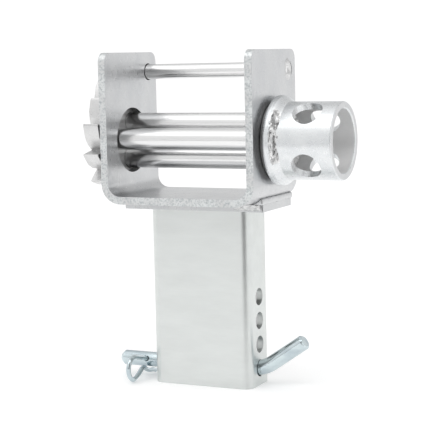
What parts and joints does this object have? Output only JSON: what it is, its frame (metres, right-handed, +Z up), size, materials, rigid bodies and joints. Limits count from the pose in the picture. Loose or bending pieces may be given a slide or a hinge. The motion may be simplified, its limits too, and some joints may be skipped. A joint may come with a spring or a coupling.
{
  "type": "stake-pocket strap winch",
  "caption": "Strap winch with ratchet wheel, pawl, barred drum and winch head in a bent channel on a rectangular stake tube with a hitch pin and hairpin clip.",
  "frame": {"origin": "on the plane of the stake tube's foot, at the middle of the whole part's length and depth", "axes": "+Z up along the stake tube, +X along the drum towards the winch head, -Y towards the side that the strap leaves from"},
  "size_m": [0.2118, 0.0942, 0.276],
  "materials": {
    "plate_zinc": "satin zinc plating",
    "tube_zinc": "satin zinc plating",
    "bar_zinc": "bright zinc plating on turned bar",
    "head_zinc": "bright zinc plating",
    "wheel_zinc": "satin zinc plating",
    "weld_zinc": "zinc plating over rough weld",
    "pin_zinc": "blue-bright zinc plating"
  },
  "bodies": {
    "frame": {"winch_channel": "plate_zinc", "base_plate": "plate_zinc", "stake_tube": "tube_zinc", "tube_inner_weld": "weld_zinc", "base_weld_left": "weld_zinc", "base_weld_right": "weld_zinc", "base_weld_front": "weld_zinc", "guide_rod": "bar_zinc", "guide_rod_weld": "weld_zinc", "pawl_washer_inner": "wheel_zinc", "pawl_washer_outer": "wheel_zinc"},
    "drum": {"drum_bar_1": "bar_zinc", "drum_bar_2": "bar_zinc", "drum_bar_3": "bar_zinc", "ratchet_wheel": "wheel_zinc", "ratchet_weld_1": "weld_zinc", "ratchet_weld_2": "weld_zinc", "ratchet_weld_3": "weld_zinc", "head_flange": "plate_zinc", "winch_head": "head_zinc", "head_weld": "weld_zinc", "head_inner_weld": "weld_zinc"},
    "pawl": {"pawl": "wheel_zinc"},
    "pin": {"hitch_pin": "pin_zinc"},
    "clip": {"hairpin_clip": "pin_zinc"}
  },
  "joints": [
    {"name": "drum_spin", "type": "hinge", "parent": "frame", "child": "drum", "pos_m": [-0.0201, 0, 0.2036], "axis": [1, 0, 0], "continuous": true},
    {"name": "pawl_pivot", "type": "hinge", "parent": "frame", "child": "pawl", "pos_m": [-0.0951, 0.03, 0.2595], "axis": [-1, 0, 0], "range_deg": [0, 70]},
    {"name": "pin_turn", "type": "hinge", "parent": "frame", "child": "pin", "pos_m": [-0.0201, 0.0145, 0.0144], "axis": [1, 0, 0], "continuous": true},
    {"name": "clip_pull", "type": "slide", "parent": "pin", "child": "clip", "axis": [0, -0.9659, 0.2588], "range_m": [0, 0.035]}
  ]
}
